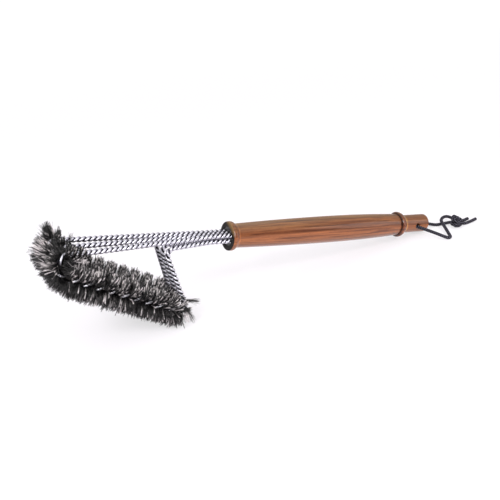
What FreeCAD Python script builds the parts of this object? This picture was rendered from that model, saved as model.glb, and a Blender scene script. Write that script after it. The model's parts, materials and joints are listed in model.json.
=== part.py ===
import FreeCAD, Part
import Sketcher
import math
import os
import re
from FreeCAD import Placement, Rotation, Vector

# Grill cleaning brush: a turned wooden handle, three twisted steel wires that run forward,
# bend back under themselves as the bristle rows and brace up to the shaft again, and a
# hanging cord through the tail of the handle.
#
# Design frame, in mm: the handle's axis is X, with X = 0 at the front face of the handle,
# +X towards the tail and +Z up. Left is -Y, as seen by someone holding the handle.
# Each sub-part's Placement turns it into the resting frame: the brush lies on a level table
# on its rear bristles and the end of its tail, +Z is up, and the origin is on the table
# under the middle of the brush.

SIZES = {
    # handle, turned from one piece of wood
    "handle_length": 264.0,
    "face_radius": 13.8,
    "collar_radius": 14.8,
    "collar_crown_at": 3.2,
    "collar_length": 7.3,
    "neck_radius": 12.3,
    "neck_end": 9.0,
    "grip_radius": 14.5,
    "grip_peak_at": 132.0,
    "grip_rear_radius": 12.2,
    "ring_front": 219.4,
    "ring_radius": 14.45,
    "ring_crown_at": 221.0,
    "ring_rear": 226.8,
    "ring_rear_radius": 11.6,
    "tail_start": 228.0,
    "tail_radius": 10.25,
    "tail_round": 3.6,
    "bore_radius": 9.6,
    "bore_depth": 45.0,
    "cord_hole_at": 245.5,
    "cord_hole_radius": 3.0,
    # resin plug in the handle's bore
    "resin_clearance": 0.03,
    "resin_recess": 0.6,
    # twisted wires: each is two strands wound round the rod's centre line
    "strand_radius": 1.32,
    "strand_offset": 1.42,
    "twist_pitch": 10.05,
    "row_twist_pitch": 26.0,
    "wire_spacing": 5.7,
    "wire_embedment": 40.0,
    "fan_start": 20.8,
    "fan_bend": 60.0,
    "front_corner_ahead": 214.0,
    "front_corner_side": 23.5,
    "front_corner_drop": 1.1,
    "front_bend": 10.7,
    "rear_corner_ahead": 44.3,
    "rear_corner_side": 18.5,
    "rear_corner_drop": 71.6,
    "rear_bend": 5.5,
    "brace_top_ahead": 72.0,
    "brace_top_side": 12.3,
    "brace_top_drop": 4.1,
    "brace_bend": 7.0,
    # bristle rows
    "bristle_radius": 17.0,
    "row_end": 13.0,
    "rod_tunnel_radius": 3.1,
    "row_gap": 0.3,
    # hanging cord
    "cord_radius": 1.9,
    "cord_bend": 3.6,
    "knot_radius": 6.8,
    # the handle's slope, in degrees, when the brush rests on a table
    "rest_tilt": 12.55,
}

SIDES = {"left": -1, "centre": 0, "right": 1}
POINTS_PER_TURN = 8
# a strand is swept in this many spans, because one long sweep does not close
STRAND_SPANS = 24

# The cord's corners beyond the handle, from the cross hole's centre, in the resting frame:
# along the table away from the handle, across it, and up.
CORD_CORNERS = [
    (53.0, -18.0, -6.6),
    (62.0, 1.5, -8.2),
    (47.5, 5.0, -8.0),
    (24.5, -38.5, -11.5),
    (5.0, -17.0, -2.5),
    (0.0, -14.5, 0.0),
    (0.0, 14.5, 0.0),
    (12.0, 15.0, -5.0),
    (27.0, 12.5, -10.4),
    (38.5, -4.5, -11.5),
    (53.0, -18.0, -6.6),
]
CORD_ENDS = [(83.5, -18.0, -11.5), (75.0, -13.0, -10.4)]

doc = FreeCAD.newDocument("grill_brush")
sheet = doc.addObject("Spreadsheet::Sheet", "Sizes")
for row, (alias, number) in enumerate(SIZES.items(), start=1):
    sheet.set(f"A{row}", alias)
    sheet.set(f"B{row}", str(number))
    sheet.setAlias(f"B{row}", alias)
doc.recompute()


def bound(formula):
    """A formula in dimension names as an expression on the spreadsheet."""
    return re.sub(r"[a-z_]+", lambda name: "Sizes." + name.group(), formula)


def size(formula):
    """The number that a dimension name, or a formula in such names, stands for."""
    return float(sheet.evalExpression(bound(formula)))


# ---- sketches ----

def origin_plane(body, role):
    return next(f for f in body.Origin.OriginFeatures if f.Role == role)


def new_sketch(body, name, plane):
    sketch = body.newObject("Sketcher::SketchObject", name)
    sketch.AttachmentSupport = [(origin_plane(body, plane), "")]
    sketch.MapMode = "FlatFace"
    return sketch


def fix(sketch, formula, kind, *place):
    """Add a dimension to a sketch and bind it to the spreadsheet."""
    index = sketch.addConstraint(Sketcher.Constraint(kind, *place, size(formula)))
    if formula != "0":
        sketch.setExpression(f"Constraints[{index}]", bound(formula))


def arc_between(start, end, radius):
    """Arc from start to end that bulges to the left of that direction."""
    chord = end - start
    left = Vector(-chord.y, chord.x, 0).normalize()
    middle = (start + end) / 2
    centre = middle - left * math.sqrt(radius ** 2 - (chord.Length / 2) ** 2)
    return Part.Arc(start, centre + left * radius, end)


def outline_sketch(body, name, corners, arcs):
    """Closed sketch on the XZ plane. corners are pairs of formulas. arcs maps the number
    of an edge to the formula of its radius, and every other edge is straight."""
    sketch = new_sketch(body, name, "XZ_Plane")
    points = [Vector(size(across), size(up), 0) for across, up in corners]
    count = len(points)
    ends = []
    for index, start in enumerate(points):
        end = points[(index + 1) % count]
        if index in arcs:
            curve = arc_between(start, end, size(arcs[index]))
        else:
            curve = Part.LineSegment(start, end)
        sketch.addGeometry(curve, False)
        forward = sketch.getPoint(index, 1).distanceToPoint(start) < 1e-6
        ends.append((1, 2) if forward else (2, 1))
    for index in range(count):
        after = (index + 1) % count
        sketch.addConstraint(Sketcher.Constraint(
            "Coincident", index, ends[index][1], after, ends[after][0]))
    for index, (across, up) in enumerate(corners):
        fix(sketch, across, "DistanceX", -1, 1, index, ends[index][0])
        fix(sketch, up, "DistanceY", -1, 1, index, ends[index][0])
    for index, radius in arcs.items():
        fix(sketch, radius, "Radius", index)
    return sketch


def circle_sketch(body, name, plane, across, radius):
    """One circle whose centre is on the sketch's horizontal axis."""
    sketch = new_sketch(body, name, plane)
    centre = Vector(size(across), 0, 0)
    sketch.addGeometry(Part.Circle(centre, Vector(0, 0, 1), size(radius)), False)
    fix(sketch, across, "DistanceX", -1, 1, 0, 3)
    fix(sketch, "0", "DistanceY", -1, 1, 0, 3)
    fix(sketch, radius, "Radius", 0)
    return sketch


def crown_radius(run, fall):
    """Radius of an arc that is level at its crown and falls away over a run."""
    return f"(({run})^2 + ({fall})^2) / (2 * ({fall}))"


# ---- handle and resin ----

def make_handle():
    """Turned handle: revolved outline, blind bore for the wires, cross hole for the cord."""
    body = doc.addObject("PartDesign::Body", "Handle")
    body.Label = "handle"
    corners = [
        ("0", "0"),
        ("0", "face_radius"),
        ("collar_crown_at", "collar_radius"),
        ("collar_length", "neck_radius"),
        ("neck_end", "neck_radius"),
        ("grip_peak_at", "grip_radius"),
        ("ring_front", "grip_rear_radius"),
        ("ring_crown_at", "ring_radius"),
        ("ring_rear", "ring_rear_radius"),
        ("tail_start", "tail_radius"),
        ("handle_length - tail_round", "tail_radius"),
        ("handle_length", "tail_radius - tail_round"),
        ("handle_length", "0"),
    ]
    arcs = {
        1: crown_radius("collar_crown_at", "collar_radius - face_radius"),
        2: crown_radius("collar_length - collar_crown_at", "collar_radius - neck_radius"),
        4: crown_radius("grip_peak_at - neck_end", "grip_radius - neck_radius"),
        5: crown_radius("ring_front - grip_peak_at", "grip_radius - grip_rear_radius"),
        7: crown_radius("ring_rear - ring_crown_at", "ring_radius - ring_rear_radius"),
        10: "tail_round",
    }
    sketch = outline_sketch(body, "HandleOutline", corners, arcs)
    turned = body.newObject("PartDesign::Revolution", "HandleTurned")
    turned.Profile = sketch
    turned.ReferenceAxis = (sketch, ["H_Axis"])
    turned.Angle = 360.0
    doc.recompute()
    whole = body.Shape.Volume

    bore = body.newObject("PartDesign::Pocket", "WireBore")
    bore.Profile = circle_sketch(body, "WireBoreCircle", "YZ_Plane", "0", "bore_radius")
    bore.Reversed = True
    bore.setExpression("Length", bound("bore_depth"))
    doc.recompute()
    bored = body.Shape.Volume
    expected = math.pi * size("bore_radius") ** 2 * size("bore_depth")
    assert abs(whole - bored - expected) < 0.01 * expected, "the bore misses the handle"

    hole = body.newObject("PartDesign::Pocket", "CordHole")
    hole.Profile = circle_sketch(
        body, "CordHoleCircle", "XZ_Plane", "cord_hole_at", "cord_hole_radius")
    hole.Type = "ThroughAll"
    hole.Midplane = True
    doc.recompute()
    assert body.Shape.Volume < bored - 1.0, "the cord hole misses the handle"
    return body


def make_resin():
    """Plug of resin that holds the six wire passes in the handle's bore."""
    plug = doc.addObject("Part::Cylinder", "BondingResin")
    plug.Label = "bonding_resin"
    plug.setExpression("Radius", bound("bore_radius - resin_clearance"))
    plug.setExpression("Height", bound("bore_depth - 2 * resin_recess"))
    upright_to_x = Rotation(Vector(0, 1, 0), 90)
    plug.Placement = Placement(Vector(size("resin_recess"), 0, 0), upright_to_x)
    return plug


# ---- paths ----

def rounded_path(corners, bends):
    """Wire of straight runs with an arc at each inner corner. bends are the arcs' radii."""
    edges = []
    start = corners[0]
    for corner, after, bend in zip(corners[1:-1], corners[2:], bends):
        back = (start - corner).normalize()
        ahead = (after - corner).normalize()
        half_angle = back.getAngle(ahead) / 2
        run = bend / math.tan(half_angle)
        inward = (back + ahead).normalize()
        nearest = corner + inward * (bend / math.sin(half_angle) - bend)
        arc_start = corner + back * run
        arc_end = corner + ahead * run
        edges.append(Part.LineSegment(start, arc_start).toShape())
        edges.append(Part.Arc(arc_start, nearest, arc_end).toShape())
        start = arc_end
    edges.append(Part.LineSegment(start, corners[-1]).toShape())
    return Part.Wire(edges)


def tube(path, radius):
    """Solid round bar along a path."""
    start = path.Edges[0].valueAt(path.Edges[0].FirstParameter)
    heading = path.Edges[0].tangentAt(path.Edges[0].FirstParameter)
    ring = Part.Wire([Part.makeCircle(radius, start, heading)])
    shell = Part.BRepOffsetAPI.MakePipeShell(path)
    shell.add(ring)
    shell.build()
    shell.makeSolid()
    return shell.shape()


def rod_corners(side):
    """Corners of one wire's centre line, from the bore along the upper layer to the front,
    back as the bristle leg, up the brace and along the lower layer into the bore."""
    spread = side * size("wire_spacing")
    layer = size("wire_spacing") / 2
    embedded = size("wire_embedment")
    fan = -size("fan_start")

    def named(corner):
        return Vector(-size(corner + "_ahead"), side * size(corner + "_side"),
                      -size(corner + "_drop"))

    return [
        Vector(embedded, spread, layer),
        Vector(fan, spread, layer),
        named("front_corner"),
        named("rear_corner"),
        named("brace_top"),
        Vector(fan, spread, -layer),
        Vector(embedded, spread, -layer),
    ]


def rod_path(side):
    bends = [size(name) for name in
             ("fan_bend", "front_bend", "rear_bend", "brace_bend", "fan_bend")]
    return rounded_path(rod_corners(side), bends)


# ---- wires ----

def twist_along(path):
    """Turns of twist as a function of the distance along a wire. Round the front bend and
    down the bristle row the bristles between the strands keep the twist loose."""
    runs = [edge.Length for edge in path.OrderedEdges]
    row_start = sum(runs[:3])
    row_end = sum(runs[:5])

    def turns(distance):
        in_row = min(max(distance, row_start), row_end) - row_start
        return (distance - in_row) / size("twist_pitch") + in_row / size("row_twist_pitch")

    return turns


def make_strand(label, side, start_angle):
    """One strand of a wire: a round bar wound left-handed about the wire's centre line."""
    path = rod_path(side)
    count = int(path.Length / size("twist_pitch") * POINTS_PER_TURN)
    centres = path.discretize(Number=count + 1)
    turns = twist_along(path)
    across = Vector(0, 1, 0)
    points = []
    for index, centre in enumerate(centres):
        heading = centres[min(index + 1, count)] - centres[max(index - 1, 0)]
        heading.normalize()
        first = (across - heading * across.dot(heading)).normalize()
        second = heading.cross(first)
        angle = start_angle - 2 * math.pi * turns(path.Length * index / count)
        outward = first * math.cos(angle) + second * math.sin(angle)
        points.append(centre + outward * size("strand_offset"))
    curve = Part.BSplineCurve()
    curve.interpolate(points)
    first_end = curve.FirstParameter
    span = (curve.LastParameter - first_end) / STRAND_SPANS
    spine = Part.Wire([curve.toShape(first_end + span * number, first_end + span * (number + 1))
                       for number in range(STRAND_SPANS)])
    heading = curve.tangent(first_end)[0]
    face = Part.Face(Part.Wire([Part.makeCircle(size("strand_radius"), points[0], heading)]))
    strand = doc.addObject("Part::Feature", label.title().replace("_", ""))
    strand.Label = label
    strand.Shape = spine.makePipe(face)
    return strand


# ---- bristle rows ----

def row_band(side):
    """Block that keeps one row's bristles on its own side of the planes between rows."""
    reach = 2 * size("front_corner_ahead")
    front = side_at(reach) / 2
    rear = side_at(0.0) / 2
    gap = size("row_gap") / 2
    outer = 2 * size("front_corner_side")
    height = 2 * size("rear_corner_drop")
    if side == 0:
        corners = [(-reach, gap - front), (0, gap - rear), (0, rear - gap), (-reach, front - gap)]
    else:
        corners = [(-reach, side * (front + gap)), (0, side * (rear + gap)),
                   (0, side * outer), (-reach, side * outer)]
    points = [Vector(x, y, -height) for x, y in corners]
    outline = Part.makePolygon(points + points[:1])
    return Part.Face(outline).extrude(Vector(0, 0, 2 * height))


def side_at(ahead):
    """Sideways place of an outer bristle leg's centre line at a distance ahead of the handle."""
    front = size("front_corner_ahead")
    rear = size("rear_corner_ahead")
    share = (ahead - rear) / (front - rear)
    return size("rear_corner_side") + share * (size("front_corner_side")
                                               - size("rear_corner_side"))


def make_bristles(label, side):
    """Space that one row's bristles fill: a bar round the leg and a cap round the front
    bend, with a tunnel for the wire that holds them."""
    corners = rod_corners(side)
    handle_side, front, rear = corners[1:4]
    radius = size("bristle_radius")
    bend = size("front_bend")
    up_leg = (handle_side - front).normalize()
    down_leg = (rear - front).normalize()
    half_angle = up_leg.getAngle(down_leg) / 2
    centre = front + (up_leg + down_leg).normalize() * (bend / math.sin(half_angle))
    hinge = up_leg.cross(down_leg).normalize()
    leg_start = front + down_leg * (bend / math.tan(half_angle))
    leg_length = (rear - leg_start).Length - size("row_end")
    leg = Part.makeCylinder(radius, leg_length, leg_start, down_leg)

    outward = (leg_start - centre).normalize()
    middle = centre + outward * bend
    reach = math.sqrt(radius ** 2 - bend ** 2)
    rim = Part.Arc(centre + hinge * reach, middle + outward * radius, centre - hinge * reach)
    axis_line = Part.LineSegment(centre - hinge * reach, centre + hinge * reach)
    profile = Part.Face(Part.Wire([rim.toShape(), axis_line.toShape()]))
    sweep = 180 - math.degrees(2 * half_angle)
    cap = profile.revolve(centre, hinge, sweep)
    if not cap.isInside(front + (centre - front) * 0.5, 0.01, True):
        cap = profile.revolve(centre, hinge * -1, sweep)

    brush = leg.fuse(cap).common(row_band(side))
    brush = brush.cut(tube(rod_path(side), size("rod_tunnel_radius"))).removeSplitter()
    bristles = doc.addObject("Part::Feature", label.title().replace("_", ""))
    bristles.Label = label
    bristles.Shape = brush.Solids[0]
    return bristles


# ---- cord ----

def rest_rotation():
    return Rotation(Vector(0, 1, 0), size("rest_tilt"))


def make_cord():
    """Loop of cord through the cross hole, with one knot and two free ends."""
    hole = Vector(size("cord_hole_at"), 0, 0)
    level = rest_rotation().inverted()

    def placed(corner):
        return hole + level.multVec(Vector(*corner))

    radius = size("cord_radius")
    corners = [placed(corner) for corner in CORD_CORNERS]
    loop = tube(rounded_path(corners, [size("cord_bend")] * (len(corners) - 2)), radius)
    knot_centre = corners[0]
    solid = loop.fuse(Part.makeSphere(size("knot_radius"), knot_centre))
    for end in CORD_ENDS:
        away = placed(end) - knot_centre
        solid = solid.fuse(Part.makeCylinder(radius, away.Length, knot_centre, away))
    cord = doc.addObject("Part::Feature", "HangingCord")
    cord.Label = "hanging_cord"
    cord.Shape = solid.removeSplitter().Solids[0]
    return cord


# ---- assembly ----

parts = [make_handle(), make_resin()]
for name, side in SIDES.items():
    parts.append(make_strand(f"{name}_wire_strand_a", side, math.pi / 2))
    parts.append(make_strand(f"{name}_wire_strand_b", side, -math.pi / 2))
    parts.append(make_bristles(f"{name}_bristles", side))
parts.append(make_cord())
doc.recompute()


def lay_on_table():
    """Turn every part into the resting frame, with the origin on the table under it all."""
    turned = Placement(Vector(0, 0, 0), rest_rotation())
    for part in parts:
        part.Placement = turned.multiply(part.Placement)
    doc.recompute()
    whole = FreeCAD.BoundBox()
    for part in parts:
        whole.add(part.Shape.optimalBoundingBox(False))
    to_origin = Placement(Vector(-whole.Center.x, 0, -whole.ZMin), Rotation())
    for part in parts:
        part.Placement = to_origin.multiply(part.Placement)
    doc.recompute()


lay_on_table()

for item in doc.Objects:
    assert not {"Invalid", "Error"} & set(item.State), f"{item.Name} failed"
for part in parts:
    assert not part.Shape.isNull() and part.Shape.isValid(), f"{part.Label} is not valid"

os.makedirs("parts", exist_ok=True)
for part in parts:
    part.Shape.exportStep(f"parts/{part.Label}.step")
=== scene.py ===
import json
import math

import bpy
import numpy as np
from mathutils import Matrix, Vector


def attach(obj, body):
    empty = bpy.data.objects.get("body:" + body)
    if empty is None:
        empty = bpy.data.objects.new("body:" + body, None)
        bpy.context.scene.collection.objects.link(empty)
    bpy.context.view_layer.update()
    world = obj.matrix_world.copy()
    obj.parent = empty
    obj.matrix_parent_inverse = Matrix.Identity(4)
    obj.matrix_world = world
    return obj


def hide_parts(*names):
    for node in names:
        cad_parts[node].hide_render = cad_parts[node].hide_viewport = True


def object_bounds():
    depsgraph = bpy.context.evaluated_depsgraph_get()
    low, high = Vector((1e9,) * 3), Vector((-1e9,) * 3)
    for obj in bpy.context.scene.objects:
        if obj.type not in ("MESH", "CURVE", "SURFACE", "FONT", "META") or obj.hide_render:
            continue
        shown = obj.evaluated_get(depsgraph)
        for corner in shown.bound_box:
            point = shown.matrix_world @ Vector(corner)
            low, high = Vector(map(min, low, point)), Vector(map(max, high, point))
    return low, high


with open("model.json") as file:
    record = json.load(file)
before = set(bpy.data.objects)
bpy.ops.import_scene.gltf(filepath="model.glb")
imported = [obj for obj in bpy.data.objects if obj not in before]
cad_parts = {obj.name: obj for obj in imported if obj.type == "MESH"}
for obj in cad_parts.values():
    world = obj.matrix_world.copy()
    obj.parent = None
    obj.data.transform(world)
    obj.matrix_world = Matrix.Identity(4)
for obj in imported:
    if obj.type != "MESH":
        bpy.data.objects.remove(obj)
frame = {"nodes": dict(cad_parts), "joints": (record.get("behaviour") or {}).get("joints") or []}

# Looks of the grill cleaning brush: turned wooden handle, twisted steel wires, bristle rows
# and braided cord. Shapes are worked out in the design frame, in mm: X along the handle
# from its front face towards the tail, Y across it and Z square to both. place() turns them
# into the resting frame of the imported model, in metres, where the brush lies on a table.

cad_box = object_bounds()
rng = np.random.default_rng(20)

# ---- the design frame ----

REST_TILT = math.radians(12.55)
CORD_HOLE_AT = 245.5
MM = 0.001

cord_hole = np.array(frame["joints"][0]["pos_m"])
along_handle = np.array([math.cos(REST_TILT), 0.0, -math.sin(REST_TILT)])
across_handle = np.array([0.0, 1.0, 0.0])
above_handle = np.array([math.sin(REST_TILT), 0.0, math.cos(REST_TILT)])
to_resting = np.stack([along_handle, across_handle, above_handle])
up_in_design = to_resting @ np.array([0.0, 0.0, 1.0])


def turn(directions):
    """Directions of the design frame as directions of the resting frame."""
    return np.asarray(directions, float) @ to_resting


def place(points):
    """Points of the design frame, in mm, as points of the resting frame, in metres."""
    offset = np.asarray(points, float) - [CORD_HOLE_AT, 0.0, 0.0]
    return cord_hole + (offset * MM) @ to_resting


def level(points):
    """Points measured from the cord hole in the resting frame, in mm, as design points."""
    return np.asarray(points, float) @ to_resting.T + [CORD_HOLE_AT, 0.0, 0.0]


def table_height(points):
    """Height of design-frame points over the table, in mm."""
    return (place(points)[..., 2] - cad_box[0][2]) / MM


# ---- mesh helpers ----

def new_piece(name, points, faces, body, replaces=()):
    """Smooth mesh object from design-frame points, riding on a body."""
    mesh = bpy.data.meshes.new(name)
    mesh.from_pydata(place(points).tolist(), [], faces)
    mesh.validate()
    mesh.update()
    mesh.shade_smooth()
    piece = bpy.data.objects.new(name, mesh)
    bpy.context.scene.collection.objects.link(piece)
    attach(piece, body)
    if replaces:
        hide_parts(*replaces)
    return piece


def grid_faces(rings, sides):
    """Quads of a tube of rings of points, each ring closed."""
    ring = np.arange(rings - 1)[:, None] * sides
    side = np.arange(sides)[None, :]
    after = (side + 1) % sides
    quads = np.stack([ring + side, ring + after, ring + sides + after, ring + sides + side], -1)
    return quads.reshape(-1, 4).tolist()


def capped_faces(rings, sides):
    """Faces of a tube of closed rings, with a flat cap at each end."""
    last = (rings - 1) * sides
    return (grid_faces(rings, sides)
            + [list(range(sides))[::-1], [last + side for side in range(sides)]])


def unit(vectors):
    """The vectors at length 1."""
    vectors = np.asarray(vectors, float)
    return vectors / np.linalg.norm(vectors, axis=-1, keepdims=True)


def headings_of(points):
    """Unit direction of a path at each of its points."""
    return unit(np.gradient(points, axis=0))


def carried_frames(points, first_side):
    """Headings of a path and two directions across it, carried along without twisting."""
    headings = headings_of(points)
    sides = np.zeros_like(points)
    side = np.asarray(first_side, float)
    for index, heading in enumerate(headings):
        side = side - heading * (side @ heading)
        side /= np.linalg.norm(side)
        sides[index] = side
    return headings, sides, np.cross(headings, sides)


def resample(points, step):
    """The path again with points at even distances."""
    lengths = np.concatenate([[0.0], np.cumsum(np.linalg.norm(np.diff(points, axis=0), axis=1))])
    count = max(2, int(round(lengths[-1] / step)) + 1)
    even = np.linspace(0.0, lengths[-1], count)
    return np.stack([np.interp(even, lengths, points[:, axis]) for axis in range(3)], 1)


def rounded_path(corners, bends, step):
    """Straight runs with an arc at each inner corner, as points at even distances."""
    corners = np.asarray(corners, float)
    points = [corners[0]]
    for before, corner, after, bend in zip(corners, corners[1:], corners[2:], bends):
        back = unit(before - corner)
        ahead = unit(after - corner)
        half_angle = math.acos(np.clip(back @ ahead, -1, 1)) / 2
        inward = unit(back + ahead)
        centre = corner + inward * bend / math.sin(half_angle)
        start = corner + back * bend / math.tan(half_angle) - centre
        end = corner + ahead * bend / math.tan(half_angle) - centre
        turned = math.pi - 2 * half_angle
        count = max(8, int(math.degrees(turned) / 2))
        for share in np.linspace(0.0, 1.0, count):
            points.append(centre + (start * math.sin((1 - share) * turned)
                                    + end * math.sin(share * turned)) / math.sin(turned))
    points.append(corners[-1])
    return resample(np.array(points), step)


def tube(points, radii, sides, first_side=(0.0, 1.0, 0.0)):
    """Points and faces of a closed tube. radii is one radius, or one per ring and side."""
    _, first, second = carried_frames(points, first_side)
    angles = np.arange(sides) * 2 * math.pi / sides
    outward = (first[:, None] * np.cos(angles)[None, :, None]
               + second[:, None] * np.sin(angles)[None, :, None])
    radii = np.broadcast_to(np.asarray(radii, float), (len(points), sides))
    rings = points[:, None] + outward * radii[..., None]
    return rings.reshape(-1, 3), capped_faces(len(points), sides)


def set_attribute(mesh, name, values):
    """One number for each vertex, for a material to read."""
    layer = mesh.attributes.new(name, "FLOAT", "POINT")
    layer.data.foreach_set("value", np.asarray(values).astype(np.float32))


def apply_modifiers(piece):
    """Replace a piece's mesh by the result of its modifiers."""
    bpy.context.view_layer.update()
    graph = bpy.context.evaluated_depsgraph_get()
    result = bpy.data.meshes.new_from_object(piece.evaluated_get(graph), depsgraph=graph)
    piece.modifiers.clear()
    piece.data = result


# ---- materials ----

WHITE = (1.0, 1.0, 1.0)


def new_material(name):
    """New material, with its node tree and its Principled shader."""
    material = bpy.data.materials.new(name)
    material.use_nodes = True
    shader = material.node_tree.nodes["Principled BSDF"]
    return material, material.node_tree, shader


def set_inputs(tree, node, inputs):
    """Set a node's inputs. A value may be another node's socket."""
    for key, value in inputs.items():
        if isinstance(value, bpy.types.NodeSocket):
            tree.links.new(value, node.inputs[key])
        else:
            node.inputs[key].default_value = value


def add_node(tree, kind, inputs=None, **settings):
    """New node with its settings and inputs set."""
    node = tree.nodes.new(kind)
    for key, value in settings.items():
        setattr(node, key, value)
    set_inputs(tree, node, inputs or {})
    return node


def ramp(tree, factor, stops):
    """Colour ramp. stops are pairs of a position and a colour."""
    node = add_node(tree, "ShaderNodeValToRGB", {"Fac": factor})
    elements = node.color_ramp.elements
    while len(elements) < len(stops):
        elements.new(0.5)
    for element, (position, colour) in zip(elements, stops):
        element.position = position
        element.color = (*colour, 1.0)
    return node.outputs["Color"]


def math_node(tree, operation, first, second):
    """Result of an operation on two numbers or sockets."""
    return add_node(tree, "ShaderNodeMath", {0: first, 1: second}, operation=operation).outputs[0]


def scaled(tree, value, factor, offset):
    """A value times a factor, plus an offset."""
    return add_node(tree, "ShaderNodeMath", {0: value, 1: factor, 2: offset},
                    operation="MULTIPLY_ADD").outputs[0]


def map_range(tree, value, low, high, at_low=0.0, at_high=1.0):
    """A value's place between low and high, as a number between at_low and at_high."""
    return add_node(tree, "ShaderNodeMapRange",
                    {"Value": value, "From Min": low, "From Max": high,
                     "To Min": at_low, "To Max": at_high}).outputs[0]


def mix_colours(tree, factor, first, second, blend_type="MIX"):
    """Mix of two colours."""
    return add_node(tree, "ShaderNodeMix", {0: factor, 6: first, 7: second},
                    data_type="RGBA", blend_type=blend_type).outputs[2]


def tinted(tree, colour, tint, strength=1.0):
    """A colour multiplied by a tint."""
    return mix_colours(tree, strength, colour, tint, "MULTIPLY")


def bump(tree, height, strength, distance):
    """Normal of a surface with relief. distance is the relief's height in metres."""
    return add_node(tree, "ShaderNodeBump", {"Strength": strength, "Distance": distance,
                                             "Height": height}).outputs[0]


def attribute(tree, name):
    """The number that set_attribute gave, at the shaded point."""
    return add_node(tree, "ShaderNodeAttribute", attribute_name=name).outputs["Fac"]


def resting_coordinates(tree):
    """The shaded point in the resting frame, in metres."""
    return add_node(tree, "ShaderNodeTexCoord").outputs["Object"]


def design_coordinates(tree):
    """The shaded point in the design frame, in mm, for patterns that follow the handle."""
    position = resting_coordinates(tree)
    rows = []
    for direction, start in zip(to_resting, (CORD_HOLE_AT, 0.0, 0.0)):
        dot = add_node(tree, "ShaderNodeVectorMath", {0: position, 1: tuple(direction / MM)},
                       operation="DOT_PRODUCT").outputs["Value"]
        rows.append(math_node(tree, "ADD", dot, start - float(cord_hole @ direction) / MM))
    return add_node(tree, "ShaderNodeCombineXYZ",
                    {"X": rows[0], "Y": rows[1], "Z": rows[2]}).outputs[0]


def separated(tree, vector):
    """The X, Y and Z of a vector."""
    return add_node(tree, "ShaderNodeSeparateXYZ", {0: vector}).outputs


def stretched(tree, coordinates, scale, offset=(0.0, 0.0, 0.0)):
    """Coordinates times a scale for each axis, plus an offset."""
    return add_node(tree, "ShaderNodeMapping",
                    {"Vector": coordinates, "Scale": scale, "Location": offset}).outputs[0]


def noise(tree, coordinates, scale, detail=3.0, roughness=0.5, distortion=0.0):
    """Smooth random number at each place, about 0.5."""
    return add_node(tree, "ShaderNodeTexNoise",
                    {"Vector": coordinates, "Scale": scale, "Detail": detail,
                     "Roughness": roughness, "Distortion": distortion}).outputs["Fac"]


HANDLE_LENGTH = 264.0

# painted shade in the turned grooves and on the ring's front face, and painted highlights along
# the groove edges, as tints: distance along the handle, tint
GROOVE_SHADE_AND_GLINTS = ((6.6, WHITE), (7.2, (0.6, 0.55, 0.5)), (7.9, (2.3, 2.6, 3.0)), (8.7, WHITE),
                (217.9, WHITE), (218.6, (0.20, 0.15, 0.17)), (219.9, (0.22, 0.16, 0.17)),
                (220.6, (0.9, 0.8, 0.8)), (223.6, (0.85, 0.75, 0.75)),
                (225.2, (0.28, 0.20, 0.20)), (226.8, (0.34, 0.26, 0.25)),
                (227.8, (2.6, 3.8, 4.2)), (229.2, (2.3, 3.3, 3.5)), (230.4, WHITE))


def wood_material():
    """Oiled reddish hardwood: broad streaks, fine grain and dark pores along the handle, with
    painted light and shade round its girth and at the turned grooves.
    """
    material, tree, shader = new_material("oiled_hardwood")
    mm = design_coordinates(tree)
    broad = noise(tree, stretched(tree, mm, (0.006, 0.16, 0.16)), 1.0, 2.0, 0.5, 0.6)
    streak = noise(tree, stretched(tree, mm, (0.012, 0.55, 0.55), (3.0, 7.0, 2.0)),
                   1.0, 4.0, 0.6, 0.4)
    fine = noise(tree, stretched(tree, mm, (0.05, 2.6, 2.6)), 1.0, 3.0, 0.6)
    pores = noise(tree, stretched(tree, mm, (0.16, 4.2, 4.2), (9.0, 1.0, 4.0)), 1.0, 2.0, 0.5)
    axes = separated(tree, mm)

    # the wood's reddish brown round its girth, with painted light and shade and wavy edges: a
    # pale tan band on top paints the reflection of the bright room, and the lighter and darker
    # bands on the left side paint the light there. 0 and 1 are on the right of the handle,
    # 0.25 is below, 0.5 on the left and 0.75 on top
    around = math_node(tree, "ARCTAN2", axes["Z"], math_node(tree, "MULTIPLY", axes["Y"], -1.0))
    wavy = math_node(tree, "ADD", around, scaled(tree, broad, 1.3, -0.65))
    girth_tone_and_light = ramp(tree, map_range(tree, wavy, -math.pi, math.pi), [
        (0.0, (0.185, 0.063, 0.017)), (0.42, (0.290, 0.098, 0.029)),
        (0.52, (0.325, 0.103, 0.027)), (0.57, (0.160, 0.047, 0.012)),
        (0.63, (0.230, 0.082, 0.022)), (0.70, (0.165, 0.068, 0.016)),
        (0.77, (0.300, 0.156, 0.056)), (1.0, (0.185, 0.063, 0.017))])

    bands = ramp(tree, streak, [(0.32, (0.28, 0.22, 0.18)), (0.45, (0.76, 0.70, 0.66)),
                                (0.55, WHITE), (0.72, (1.42, 1.36, 1.20))])
    grain = ramp(tree, fine, [(0.35, (0.72, 0.68, 0.66)), (0.60, (1.05, 1.05, 1.05))])
    dots = ramp(tree, pores, [(0.60, WHITE), (0.70, (0.45, 0.38, 0.36))])
    # painted shade and painted highlights at the turned grooves
    painted_groove_light = ramp(tree, map_range(tree, axes["X"], 0.0, HANDLE_LENGTH),
                 [(at / HANDLE_LENGTH, tint) for at, tint in GROOVE_SHADE_AND_GLINTS])
    colour = tinted(tree, girth_tone_and_light, bands, 0.95)
    colour = tinted(tree, colour, grain, 0.8)
    colour = tinted(tree, colour, dots, 0.7)
    set_inputs(tree, shader, {
        "Base Color": tinted(tree, colour, painted_groove_light), "Roughness": scaled(tree, fine, 0.2, 0.22),
        "Normal": bump(tree, fine, 0.25, 0.00012), "Specular IOR Level": 0.15,
        "Coat Weight": 0.8, "Coat Roughness": 0.12})
    return material


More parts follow.
